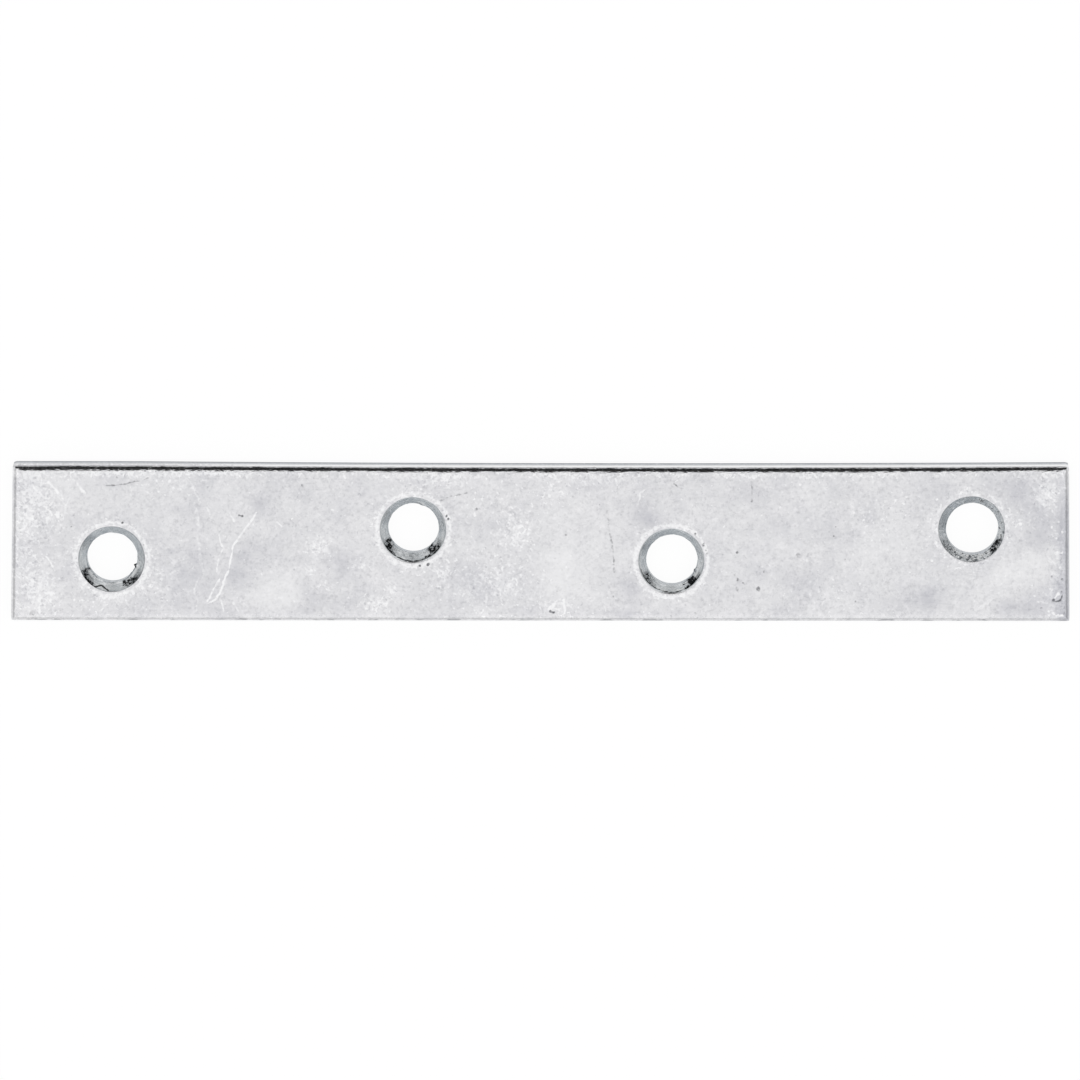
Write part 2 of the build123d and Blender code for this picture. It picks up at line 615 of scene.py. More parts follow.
PATCHES = {
    Touch.RUBBED: (
        Patch((-44.5, 4.6), (3.0, 1.4), 0.4, -40.0), Patch((-45.5, -5.0), (2.4, 1.8), 0.25),
        Patch((-24.5, -4.7), (1.9, 2.1), 1.0), Patch((-26.3, -5.4), (1.2, 1.0), 0.5),
        Patch((3.2, -3.0), (3.2, 2.8), 0.85, 20.0), Patch((2.2, 2.0), (3.0, 3.4), 0.35),
        Patch((45.6, -2.2), (3.2, 1.6), 0.8, 33.0), Patch((43.0, -3.6), (2.4, 1.4), 0.4, 40.0),
        Patch((33.0, -1.0), (4.5, 4.0), 0.25),
    ),
    Touch.DULLED: (
        Patch((-32.3, -3.9), (1.7, 2.7), 0.55), Patch((-28.3, -3.2), (1.3, 2.3), 0.45, -15.0),
        Patch((-26.4, 3.9), (1.0, 1.5), 0.28), Patch((-37.1, -5.7), (1.3, 0.9), 0.4),
        Patch((-34.9, -0.8), (0.5, 0.25), 0.6), Patch((-23.6, -1.6), (2.6, 0.9), 0.35),
        Patch((-20.7, -5.4), (1.9, 1.2), 0.35), Patch((-18.7, -2.2), (1.5, 1.0), 0.35),
        Patch((-11.5, -4.4), (1.3, 1.2), 0.4), Patch((-6.5, -3.1), (1.6, 1.0), 0.4),
        Patch((-5.4, -5.3), (1.2, 1.0), 0.4), Patch((-1.4, -6.4), (1.8, 0.5), 0.4),
        Patch((10.0, 2.4), (1.7, 0.9), 0.6, -30.0), Patch((8.4, 0.5), (1.1, 0.9), 0.5, 60.0),
        Patch((8.0, -4.0), (2.1, 1.1), 0.6, -40.0), Patch((7.6, -6.7), (5.0, 0.35), 0.35),
        Patch((16.1, 4.8), (2.2, 0.9), 0.35), Patch((20.9, 5.0), (1.7, 0.7), 0.35),
        Patch((23.8, -3.4), (0.9, 1.0), 0.25), Patch((31.3, 2.6), (0.7, 1.1), 0.5, -15.0),
        Patch((27.5, 0.1), (0.8, 1.6), 0.35), Patch((29.1, 0.9), (0.8, 0.7), 0.3),
        Patch((34.4, -5.7), (1.7, 1.2), 0.5), Patch((36.8, -5.4), (1.2, 1.2), 0.4),
        Patch((45.6, 4.8), (1.7, 1.6), 0.6), Patch((46.9, 2.2), (1.4, 2.0), 0.55, 10.0),
        Patch((46.8, 0.4), (2.0, 1.0), 0.35), Patch((45.2, -5.9), (2.4, 1.3), 0.6, 10.0),
        Patch((48.9, -4.6), (1.5, 2.6), 0.8), Patch((49.6, 0.5), (0.7, 4.5), 1.3),
        Patch((49.6, -6.6), (0.7, 1.0), 1.3),
    ),
    Touch.PEPPERED: (
        Patch((-48.5, 1.0), (1.6, 7.0), 0.9), Patch((-46.9, 4.6), (2.4, 1.6), 0.8, -40.0),
        Patch((-46.8, -4.8), (1.7, 2.2), 0.9), Patch((-46.0, 1.4), (1.0, 1.8), 0.5),
        Patch((-41.6, -6.0), (3.0, 1.2), 0.4), Patch((-36.4, -5.0), (1.6, 2.0), 0.4),
        Patch((-35.6, -3.0), (1.4, 1.0), 0.5), Patch((-34.6, 5.6), (4.0, 0.9), 0.5),
        Patch((-20.9, -0.4), (1.3, 1.4), 0.9), Patch((-17.2, -2.1), (1.2, 0.5), 0.8),
        Patch((-15.5, -5.8), (1.4, 1.0), 1.0), Patch((-14.0, -4.3), (0.8, 0.8), 0.6),
        Patch((-21.6, -2.6), (0.7, 0.5), 0.7), Patch((-20.6, -3.9), (0.9, 0.7), 0.5),
        Patch((-9.2, -3.0), (1.2, 0.7), 0.8, 45.0), Patch((-4.6, -3.9), (4.4, 2.8), 0.8),
        Patch((-2.2, 0.9), (1.6, 1.6), 0.8), Patch((-9.4, 6.0), (3.0, 0.8), 0.8),
        Patch((-4.6, 3.2), (3.6, 2.4), 0.4), Patch((1.8, -6.2), (1.8, 0.9), 0.8),
        Patch((1.6, 4.8), (2.6, 1.2), 0.6), Patch((5.4, 6.0), (3.3, 0.5), 0.8),
        Patch((31.4, 2.6), (3.0, 2.2), 0.4, 30.0), Patch((27.0, -5.0), (4.0, 2.0), 0.3),
        Patch((47.8, 5.0), (1.3, 1.6), 0.9), Patch((45.2, 2.3), (0.6, 1.3), 0.7),
        Patch((48.9, -1.2), (0.8, 3.4), 0.9), Patch((47.0, 4.2), (1.6, 2.0), 0.4),
        Patch((48.4, -5.4), (1.3, 1.8), 0.9),
    ),
}


# ---------------------------------------------------------------------------------------------
# Finishes
# ---------------------------------------------------------------------------------------------


@dataclass(frozen=True)
class Layer:
    """One pattern in a finish: noise of a real size, pushed by what the mesh says of the place.

    It comes in where the noise, plus the push times the named attribute, rises from low to high.
    """

    size: float  # millimetres across one grain
    low: float
    high: float
    colour: str = ""  # what it turns the metal to
    amount: float = 1.0  # and how far
    height: float = 0.0  # millimetres that it stands proud, sunk where negative
    shine: float = 0.0  # what it adds to the roughness
    where: str = ""  # the attribute
    push: float = 0.0
    stretch: tuple[float, float, float] = (1.0, 1.0, 1.0)
    turn: float = 0.0  # degrees, seen from above
    detail: float = 2.0
    crumple: float = 0.0


@dataclass(frozen=True)
class Finish:
    """A metal surface built up from layers of pattern."""

    name: str
    colour: str
    roughness: float
    layers: tuple[Layer, ...]

    def material(self) -> bpy.types.Material:
        """Build the material.

        Returns:
            The new material.
        """
        material = bpy.data.materials.new(self.name)
        material.use_nodes = True
        tree = material.node_tree
        tree.nodes.clear()
        place = add_node(tree, "TexCoord", take="Object")
        colour = linear(self.colour)
        roughness = self.roughness
        height = 0.0
        for number, layer in enumerate(self.layers):
            mask = self.mask(tree, place, layer, number)
            if layer.colour:
                share = add_node(tree, "Math", {0: mask, 1: layer.amount}, operation="MULTIPLY")
                # This node's two colours and what they make share their names, so they go by number
                pair = {0: share, 6: colour, 7: linear(layer.colour)}
                colour = add_node(tree, "Mix", pair, take=2, data_type="RGBA")
            if layer.height:
                raised = {0: mask, 1: layer.height, 2: height}
                height = add_node(tree, "Math", raised, operation="MULTIPLY_ADD")
            if layer.shine:
                rougher = {0: mask, 1: layer.shine, 2: roughness}
                roughness = add_node(tree, "Math", rougher, operation="MULTIPLY_ADD")
        relief = add_node(tree, "Bump", {"Height": height, "Strength": 1.0, "Distance": MM})
        metal = add_node(
            tree,
            "BsdfPrincipled",
            {"Base Color": colour, "Metallic": 1.0, "Roughness": roughness, "Normal": relief},
        )
        add_node(tree, "OutputMaterial", {"Surface": metal})
        return material

    def mask(
        self,
        tree: bpy.types.NodeTree,
        place: bpy.types.NodeSocket,
        layer: Layer,
        number: int,
    ) -> bpy.types.NodeSocket:
        """Add the nodes that say where a layer shows.

        Args:
            tree: The finish's node tree.
            place: Object coordinates in metres.
            layer: The layer.
            number: The layer's place in the finish, which moves its noise.

        Returns:
            0 where the layer is absent and 1 where it is full.
        """
        turned = add_node(
            tree,
            "VectorRotate",
            {"Vector": place, "Angle": math.radians(layer.turn)},
            rotation_type="Z_AXIS",
        )
        grains = [1 / (MM * layer.size * share) for share in layer.stretch]
        moved = (7.3 * number, 3.1 * number, 5.7 * number)  # so that no two patterns coincide
        scaled = add_node(
            tree, "VectorMath", {0: turned, 1: grains, 2: moved}, operation="MULTIPLY_ADD"
        )
        level = add_node(
            tree,
            "TexNoise",
            {
                "Vector": scaled,
                "Scale": 1.0,
                "Detail": layer.detail,
                "Roughness": 0.55,
                "Distortion": layer.crumple,
            },
        )
        if layer.where:
            said = add_node(tree, "Attribute", take="Fac", attribute_name=layer.where)
            pushed = {0: said, 1: layer.push, 2: level}
            level = add_node(tree, "Math", pushed, operation="MULTIPLY_ADD")
        return add_node(
            tree,
            "MapRange",
            {"Value": level, "From Min": layer.low, "From Max": layer.high},
            interpolation_type="SMOOTHSTEP",
        )


# Bright zinc plate on cold-rolled strip, tumbled in a barrel: a satin, faintly cool white metal,
# clouded over several millimetres, pecked with pale flecks and dark pinholes, and rubbed to a
# smoother shine round the rolled edges. The finest flecks and the hair lines of rolling are
# narrower in life, and are as coarse here as they need to be to show.
ZINC_FACE = Finish(
    "barrel_zinc_on_rolled_steel",
    "#E4E4E6",
    0.36,
    (
        # Clouds, then flecks and pinholes from coarse to fine
        Layer(7.0, 0.42, 0.66, "#EFEEF0", 0.22, detail=3.0),
        Layer(5.0, 0.45, 0.7, "#CCCDD2", 0.13, detail=3.0),
        Layer(1.3, 0.45, 0.72, "#F3F2F4", 0.2, height=0.001, detail=3.0),
        Layer(1.1, 0.48, 0.76, "#C2C2C8", 0.18, height=-0.001, detail=3.0),
        Layer(0.55, 0.5, 0.8, "#F9F8FA", 0.5, height=0.0014, crumple=0.3),
        Layer(0.5, 0.5, 0.82, "#B9B9BE", 0.35, height=-0.0014, crumple=0.3),
        Layer(0.32, 0.42, 0.8, "#F7F6F8", 0.4, height=0.001, shine=-0.04),
        Layer(0.3, 0.46, 0.84, "#AEAEB3", 0.4, height=-0.001, shine=0.05),
        # Pecks and short nicks, thickest where the barrel wore the plate
        Layer(0.5, 0.66, 0.8, "#FBFBFC", 0.55, height=0.003, where="wear", push=0.18, crumple=0.5),
        Layer(0.36, 0.66, 0.76, "#FEFEFF", 0.85, height=0.003, where="wear", push=0.18),
        Layer(
            0.24, 0.64, 0.8, "#FEFEFF", 0.4, height=0.002,
            where="wear", push=0.16, stretch=(4.0, 1.0, 1.0), turn=46.0,
        ),
        Layer(
            0.24, 0.64, 0.8, "#FEFEFF", 0.35, height=0.002,
            where="wear", push=0.14, stretch=(4.0, 1.0, 1.0), turn=-64.0,
        ),
        Layer(0.4, 0.68, 0.8, "#A2A3AA", 0.4, height=-0.003, where="wear", push=0.1),
        Layer(0.5, 0.7, 0.8, "#9A9CA3", 0.5, height=-0.003, crumple=0.6),
        # Hair lines of handling, and those that rolling left along the strip
        Layer(0.14, 0.64, 0.8, "#F8F8FA", 0.3, stretch=(34.0, 1.0, 1.0), turn=72.0),
        Layer(0.14, 0.66, 0.82, "#F8F8FA", 0.3, stretch=(26.0, 1.0, 1.0), turn=-48.0),
        Layer(0.16, 0.66, 0.82, "#B4B5BA", 0.3, stretch=(40.0, 1.0, 1.0), turn=5.0),
        # Rubbed and dulled stretches, the rings round the mouths, and the single marks
        Layer(3.0, 0.35, 1.15, "#F8F8F9", 0.5, where="rub", push=0.5, detail=3.0),
        Layer(3.0, 0.35, 1.15, "#A8A9B4", 0.52, where="rub", push=-0.5, detail=3.0),
        Layer(0.3, 0.7, 0.98, "#FDFDFE", 0.75, height=0.002, where="halo", push=0.46, detail=3.0),
        Layer(0.3, 0.62, 1.3, "#FEFEFF", 0.9, where="mark", push=0.8),
        Layer(0.3, 0.62, 1.3, "#4A4C52", 0.85, where="mark", push=-0.8),
        # The rolled edges
        Layer(0.45, 1.3, 1.7, height=0.012, where="roll", push=1.0, stretch=(1.5, 1.0, 1.0)),
        Layer(1.5, 0.7, 1.1, shine=-0.22, where="roll", push=0.9),
        Layer(0.3, 0.85, 1.1, "#FCFCFD", 0.9, where="polish", push=0.75),
        Layer(0.8, 1.12, 1.26, "#808288", 0.5, where="sill", push=0.62, stretch=(1.6, 1.0, 1.0)),
    ),
)

# Where the blade cut: a band that its side burnished, then the torn part below, drawn into fine
# upright lines, with thinner and greyer zinc. The lines are as coarse as they need to be to show.
SHEARED_WALL = Finish(
    "thin_zinc_on_sheared_edge",
    "#CED1D5",
    0.3,
    (
        Layer(0.12, 0.4, 0.75, "#A2A5AB", 0.4, height=-0.006, stretch=(1.0, 1.0, 8.0)),
        Layer(0.3, 0.45, 0.75, "#EEEFF1", 0.4, height=0.004, stretch=(1.0, 1.0, 2.0)),
        Layer(0.25, 0.9, 1.2, "#9A9DA4", 0.7, height=-0.02, shine=0.2, where="torn", push=0.7),
    ),
)

# Painted dark reflections on the cones and bores, grey to nearly black, and painted shade along the
# folds and lip arcs
PAINTED_REFLECTIONS_AND_SHADE = (
    # painted dark reflections, grey and then nearly black
    Layer(0.4, 0.6, 1.1, "#777B80", 0.6, shine=0.1, where="stain", push=0.45),
    Layer(0.2, 0.8, 0.89, "#0E0F12", 0.97, where="stain", push=0.36, crumple=0.4),
    # painted shade along the folds and lip arcs
    Layer(0.3, 0.72, 0.92, "#1A1B1E", 0.92, where="crease", push=0.56),
)

# The punch pressed the cone: smoother than the face and brighter where it mirrors the light, with
# fine lines round it, scale pressed in here and there, and painted shade along its lip and foot. The
# lines are as coarse as they need to be to show.
PRESSED_CONE = Finish(
    "thin_zinc_on_pressed_countersink",
    "#ECEFF1",
    0.22,
    (
        Layer(0.1, 0.35, 0.7, "#FCFDFD", 0.55, height=0.002, stretch=(9.0, 9.0, 1.0)),
        Layer(0.14, 0.42, 0.7, "#BAC1C6", 0.55, height=-0.002, stretch=(7.0, 7.0, 1.0)),
        Layer(0.35, 0.4, 0.75, "#F8FAFB", 0.3, height=0.006, detail=3.0),
        Layer(0.27, 0.68, 0.76, "#464B50", 0.82, height=-0.01, shine=0.1, where="grit", push=0.2),
        Layer(0.24, 0.7, 0.76, "#FEFEFE", 0.95, height=0.006, where="grit", push=0.17),
        # painted shade just inside the mouth and at the cone's foot
        Layer(0.2, 0.7, 1.2, "#8C939A", 0.42, where="lip", push=0.75),
        # painted dark reflections and painted shade
        *PAINTED_REFLECTIONS_AND_SHADE,
    ),
)

# The bore is torn through as the sheared wall is, and the punch's side has smeared it.
PIERCED_BORE = Finish(
    "thin_zinc_in_pierced_bore",
    "#C4C9CE",
    0.3,
    (
        Layer(0.12, 0.4, 0.75, "#8E949A", 0.6, height=-0.006, stretch=(1.0, 1.0, 8.0)),
        Layer(0.3, 0.5, 0.75, "#E2E5E7", 0.5, height=0.006, stretch=(1.0, 1.0, 2.0)),
        # painted dark reflections and painted shade
        *PAINTED_REFLECTIONS_AND_SHADE,
    ),
)

FINISHES = (ZINC_FACE, SHEARED_WALL, PRESSED_CONE, PIERCED_BORE)


# ---------------------------------------------------------------------------------------------
# The plate
# ---------------------------------------------------------------------------------------------


@dataclass
class MendingPlate:
    """The plate as one mesh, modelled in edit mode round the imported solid's sizes."""

    length: float
    width: float
    thickness: float
    holes: list[ScrewHole]
    edges: EdgeForm = field(default_factory=EdgeForm)
    hole_form: HoleForm = field(default_factory=HoleForm)
    traces: Traces = field(default_factory=Traces)
    marks: tuple[Mark, ...] = MARKS
    patches: dict[Touch, tuple[Patch, ...]] = field(default_factory=lambda: PATCHES)
    columns: int = 300  # cells of the face along the plate
    rows: int = 42  # and across it
    opening_cells: int = 24  # side of the square that a hole's round mesh takes the place of
    opening_rings: int = 6
    mark_bands: tuple[float, ...] = (0.42, 0.26, 0.16)  # the mesh is finer this near a mark,
    burr_reaches: tuple[float, ...] = (1.0, 0.6)  # a burr
    fold_bands: tuple[float, ...] = (0.4, 0.25)  # and a fold
    cone_reach: float = 4.0  # from a hole's centre, beyond all of its cone
    ring_reach: float = 6.0  # and beyond the scuffed ring round it
    piece: bpy.types.Object | None = None

    @classmethod
    def from_frame(cls, record: dict) -> MendingPlate:
        """Take the plate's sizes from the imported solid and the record's mounts.

        Args:
            record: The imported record.

        Returns:
            The plate, not yet modelled.
        """
        low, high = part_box(NODE)
        size = (high - low) / MM
        holes = [
            ScrewHole(
                mount["name"],
                (mount["pos_m"][0] / MM, mount["pos_m"][1] / MM),
                mount["dims"]["r_mm"],
                PUNCH_WORK[mount["name"]],
            )
            for mount in record["mounts"]
            if mount["kind"] == "bore"
        ]
        return cls(size.x, size.y, size.z, holes)

    # Selecting by place

    def select(self, kind: str, wanted: Callable[[Vector, object], bool]) -> None:
        """Select the faces or edges whose middle and form pass a test, and nothing else.

        Args:
            kind: faces or edges.
            wanted: Takes the middle in millimetres and the element.
        """
        bpy.ops.mesh.select_all(action="DESELECT")
        bpy.context.tool_settings.mesh_select_mode = (False, kind == "edges", kind == "faces")
        mesh = bmesh.from_edit_mesh(self.piece.data)
        for element in getattr(mesh, kind):
            middle = sum((v.co for v in element.verts), Vector()) / (len(element.verts) * MM)
            if wanted(middle, element):
                element.select_set(True)
        mesh.select_flush_mode()
        bmesh.update_edit_mesh(self.piece.data)

    def on_outline(self, at: Vector, edge: object, half: Point) -> bool:
        """Whether an edge lies on the open outline of that half length and width."""
        return edge.is_boundary and any(abs(abs(at[i]) - half[i]) < NEAR for i in (0, 1))

    def on_rim(self, at: Vector, edge: object, hole: ScrewHole) -> bool:
        """Whether an edge lies on the open mouth of a hole."""
        reach = math.hypot(at.x - hole.cone_centre[0], at.y - hole.cone_centre[1])
        return edge.is_boundary and reach < self.hole_form.widest_mouth

    # Modelling

    def model(self) -> bpy.types.Object:
        """Model the whole plate.

        Returns:
            The finished piece, at rest in the frame.
        """
        self.start()
        front = (self.length / 2 - self.edges.end_roll, self.width / 2 - self.edges.side_roll)
        back = (self.length / 2 - self.edges.back_break, self.width / 2 - self.edges.back_break)
        self.lay_front(front)
        for hole in self.holes:
            self.open_hole(hole, front)
        self.copy_to_back(front, back)
        self.roll_edges(front, back)
        for hole in self.holes:
            self.sink_hole(hole)
        self.close()
        self.refine()
        bpy.ops.object.mode_set(mode="OBJECT")
        self.wear()
        return self.piece

    def start(self) -> None:
        """Begin with an empty mesh in edit mode, with nothing else selected."""
        mesh = bpy.data.meshes.new("zinc_plate")
        self.piece = bpy.data.objects.new("zinc_plate", mesh)
        bpy.context.scene.collection.objects.link(self.piece)
        self.pick()
        bpy.ops.object.mode_set(mode="EDIT")

    def pick(self) -> None:
        """Select the piece and nothing else."""
        bpy.ops.object.select_all(action="DESELECT")
        self.piece.select_set(True)
        bpy.context.view_layer.objects.active = self.piece

    def lay_front(self, half: Point) -> None:
        """Lay the flat of the front face as a fine grid.

        Args:
            half: Half of its length and of its width.
        """
        level = self.thickness * MM
        bpy.ops.mesh.primitive_grid_add(
            x_subdivisions=self.columns, y_subdivisions=self.rows, size=2.0, location=(0, 0, level)
        )
        bpy.ops.transform.resize(
            value=(half[0] * MM, half[1] * MM, 1), center_override=(0, 0, level)
        )

    def open_hole(self, hole: ScrewHole, half: Point) -> None:
        """Clear a square of the grid round a hole and draw its rim in to the mouth's circle.

        Args:
            hole: The hole.
            half: Half of the grid's length and of its width.
        """
        cell = (2 * half[0] / self.columns, 2 * half[1] / self.rows)
        side = [self.opening_cells * size for size in cell]
        first = [round((hole.centre[i] - side[i] / 2 + half[i]) / cell[i]) for i in (0, 1)]
        middle = [first[i] * cell[i] - half[i] + side[i] / 2 for i in (0, 1)]

        def inside(at: Vector, _: object) -> bool:
            """Whether a face lies in the cleared square."""
            return all(abs(at[i] - middle[i]) < side[i] / 2 for i in (0, 1))

        def rim(at: Vector, edge: object) -> bool:
            """Whether an edge runs round the cleared square."""
            return edge.is_boundary and all(
                abs(at[i] - middle[i]) < side[i] / 2 + cell[i] / 4 for i in (0, 1)
            )

        self.select("faces", inside)
        bpy.ops.mesh.delete(type="FACE")
        self.select("edges", rim)
        target = self.section(hole)[0][0]
        start = self.ring_radius()
        drift = [(hole.cone_centre[i] - middle[i]) / self.opening_rings for i in (0, 1)]
        for step in range(1, self.opening_rings + 1):
            left = self.opening_rings - step + 1
            bpy.ops.mesh.extrude_edges_move()
            bpy.ops.transform.tosphere(value=1 / left)  # rounder each time, and round at last
            wanted = start + (target - start) * step / self.opening_rings
            self.resize_ring(wanted / self.ring_radius())
            self.shift_ring(drift)
        log.info("%s: mouth of radius %.3f mm", hole.name, self.ring_radius())

    def section(self, hole: ScrewHole) -> list[Point]:
        """A hole's section through this plate, as radius and height from the front down."""
        return self.hole_form.profile(hole, self.thickness)

    def ring_radius(self) -> float:
        """Measure the selected ring.

        Returns:
            Mean distance in millimetres from its vertices to their middle.
        """
        mesh = bmesh.from_edit_mesh(self.piece.data)
        ring = [vertex.co for vertex in mesh.verts if vertex.select]
        middle = sum(ring, Vector()) / len(ring)
        return sum((co - middle).length for co in ring) / (len(ring) * MM)

    def resize_ring(self, share: float) -> None:
        """Resize the selected ring about its own middle, seen from above."""
        bpy.ops.transform.resize(value=(share, share, 1))

    def shift_ring(self, shift: Sequence[float], up: float = 0.0) -> None:
        """Shift the selected ring by millimetres, seen from above, and raise it."""
        bpy.ops.transform.translate(value=(shift[0] * MM, shift[1] * MM, up * MM))

    def fit_outline(self, old: Point, new: Point) -> None:
        """Resize the selected outline from one half length and width to another."""
        bpy.ops.transform.resize(
            value=(new[0] / old[0], new[1] / old[1], 1), center_override=(0, 0, 0)
        )

    def copy_to_back(self, front: Point, back: Point) -> None:
        """Copy the flat of the front down to the back and fit its outline and its holes.

        Args:
            front: Half of the front flat's length and width.
            back: Half of the back flat's length and width.
        """
        bpy.ops.mesh.select_all(action="SELECT")
        bpy.ops.mesh.duplicate_move(
            TRANSFORM_OT_translate={"value": (0, 0, -self.thickness * MM)}
        )
        self.select("edges", lambda at, e: at.z < NEAR and self.on_outline(at, e, front))
        self.fit_outline(front, back)
        for hole in self.holes:
            section = self.section(hole)
            self.select("edges", lambda at, e: at.z < NEAR and self.on_rim(at, e, hole))
            self.resize_ring(section[-1][0] / section[0][0])
            self.shift_ring(hole.work.bore)

    def roll_edges(self, front: Point, back: Point) -> None:
        """Extrude the outline down over the rolled edge and the wall to the back's outline.

        Args:
            front: Half of the front flat's length and width.
            back: Half of the back flat's length and width.
        """
        form = self.edges
        top = self.thickness
        self.select("edges", lambda at, e: at.z > top / 2 and self.on_outline(at, e, front))
        rings = []
        for step in range(1, form.roll_steps + 1):
            turn = math.pi / 2 * step / form.roll_steps
            out = math.sin(turn)
            down = form.roll_drop * (1 - math.cos(turn))
            rings.append(
                (front[0] + form.end_roll * out, front[1] + form.side_roll * out, top - down)
            )
        foot = top - form.roll_drop
        for step in range(1, form.wall_steps + 1):
            height = foot + (form.back_break - foot) * step / form.wall_steps
            rings.append((self.length / 2, self.width / 2, height))
        rings.append((back[0], back[1], 0.0))
        last = (front[0], front[1], top)
        for ring in rings:
            bpy.ops.mesh.extrude_edges_move()
            self.shift_ring((0, 0), ring[2] - last[2])
            self.fit_outline(last[:2], ring[:2])
            last = ring

    def sink_hole(self, hole: ScrewHole) -> None:
        """Extrude a hole's mouth down its cone and bore to the back.

        Args:
            hole: The hole.
        """
        form = self.hole_form
        section = self.section(hole)
        middle = self.thickness / 2
        self.select("edges", lambda at, e: at.z > middle and self.on_rim(at, e, hole))
        cone = range(form.lip_steps + 1, form.lip_steps + form.cone_steps + 1)
        for step in range(1, len(section)):
            bpy.ops.mesh.extrude_edges_move()
            self.shift_ring((0, 0), section[step][1] - section[step - 1][1])
            self.resize_ring(section[step][0] / section[step - 1][0])
            if step in cone:
                self.shift_ring([shift / form.cone_steps for shift in hole.work.bore])

    def close(self) -> None:
        """Join the walls to the back and turn every face outwards."""
        bpy.ops.mesh.select_all(action="SELECT")
        bpy.ops.mesh.remove_doubles(threshold=0.003 * MM)
        bpy.ops.mesh.select_all(action="SELECT")
        bpy.ops.mesh.normals_make_consistent(inside=False)
        mesh = bmesh.from_edit_mesh(self.piece.data)
        open_edges = sum(1 for edge in mesh.edges if not edge.is_manifold)
        log.info("%s: %d faces, %d open edges", self.piece.name, len(mesh.faces), open_edges)

    def refine(self) -> None:
        """Divide the faces by each mark, burr and fold, so that marks can be cut into the mesh, burrs
        pulled in and the shade along folds drawn finely.
        """
        level = self.thickness - NEAR
        for band in self.mark_bands:
            self.divide_along(
                [mark.path for mark in self.marks],
                band,
                lambda face: face.calc_center_median().z > level * MM,
            )
        for reach in self.burr_reaches:
            self.divide_near_burrs(reach)
        folds = [
            [(x + hole.cone_centre[0], y + hole.cone_centre[1]) for x, y in fold]
            for hole in self.holes
            for fold in hole.work.folds
        ]
        for band in self.fold_bands:
            # only faces that slope upwards, as a cone's do
            self.divide_along(folds, band, lambda face: 0 < face.normal.z < 0.95)

    def divide_along(
        self,
        paths: Sequence[Sequence[Point]],
        band: float,
        wanted: Callable[[bmesh.types.BMFace], bool],
    ) -> None:
        """Divide the faces that lie near some paths, as seen from above.

        Args:
            paths: The paths, in millimetres.
            band: How near a face's middle lies, in millimetres.
            wanted: Whether a face may be divided at all.
        """
        mesh = bmesh.from_edit_mesh(self.piece.data)
        faces = [face for face in mesh.faces if wanted(face)]
        middles = np.array([face.calc_center_median() for face in faces]) / MM
        near = np.zeros(len(faces), bool)
        for path in paths:
            near |= distance_to_path(middles, path) < band
        chosen = {face.index for face, close in zip(faces, near) if close}
        self.select("faces", lambda at, face: face.index in chosen)
        bpy.ops.mesh.subdivide(number_cuts=1)

    def divide_near_burrs(self, reach: float) -> None:
        """Divide the faces by the foot of a cone where a burr stands.

        Args:
            reach: How near a face's middle lies to the burr, in millimetres.
        """
        spots = []
        for hole in self.holes:
            x, y = hole.bore_centre
            foot = self.hole_form.cone_foot(hole, self.thickness)
            for burr in hole.work.burrs:
                turn = math.radians(burr.angle)
                place = (x + hole.bore * math.cos(turn), y + hole.bore * math.sin(turn), foot)
                spots.append(Vector(place))
        self.select("faces", lambda at, face: any((at - spot).length < reach for spot in spots))
        bpy.ops.mesh.subdivide(number_cuts=1)

    # Wear

    def places(self) -> np.ndarray:
        """Read where the mesh's vertices are.

        Returns:
            Each vertex in millimetres, one a row.
        """
        flat = np.empty(len(self.piece.data.vertices) * 3)
        self.piece.data.vertices.foreach_get("co", flat)
        return flat.reshape(-1, 3) / MM

    def put_places(self, at: np.ndarray) -> None:
        """Move the mesh's vertices to their new places, in millimetres."""
        self.piece.data.vertices.foreach_set("co", (at * MM).ravel())
        self.piece.data.update()

    def name_values(self, name: str, values: np.ndarray) -> None:
        """Keep one value for each vertex under a name that the finishes read."""
        attribute = self.piece.data.attributes.new(name, "FLOAT", "POINT")
        attribute.data.foreach_set("value", values.astype(np.float32))

    def wear(self) -> None:
        """Put the traces of the tools, the barrel and handling into the mesh."""
        at = self.places()
        flat = at.copy()
        self.name_wear(flat)
        self.bruise_edges(at, flat)
        self.true_cones(at, flat)
        self.tear_bores(at, flat)
        self.cut_marks(at, flat)
        self.crop_outline(at, flat)
        self.put_places(at)

    def from_rim(self, flat: np.ndarray) -> np.ndarray:
        """Measure out from the mouth of the nearest countersink, seen from above.

        Args:
            flat: Each vertex in millimetres, as modelled.

        Returns:
            Each vertex's distance, negative inside the mouth.
        """
        centres = np.array([hole.cone_centre for hole in self.holes])
        radii = np.array([self.hole_form.mouth_radius(hole) for hole in self.holes])
        return (np.linalg.norm(flat[:, None, :2] - centres[None], axis=2) - radii).min(1)

    def from_edge(self, flat: np.ndarray) -> np.ndarray:
        """Distance of each vertex in from the outline, seen from above."""
        half = np.array([self.length / 2, self.width / 2])
        return (half - np.abs(flat[:, :2])).min(1)

    def upper(self, flat: np.ndarray) -> np.ndarray:
        """Whether each vertex lies in the front half of the thickness."""
        return flat[:, 2] > self.thickness / 2

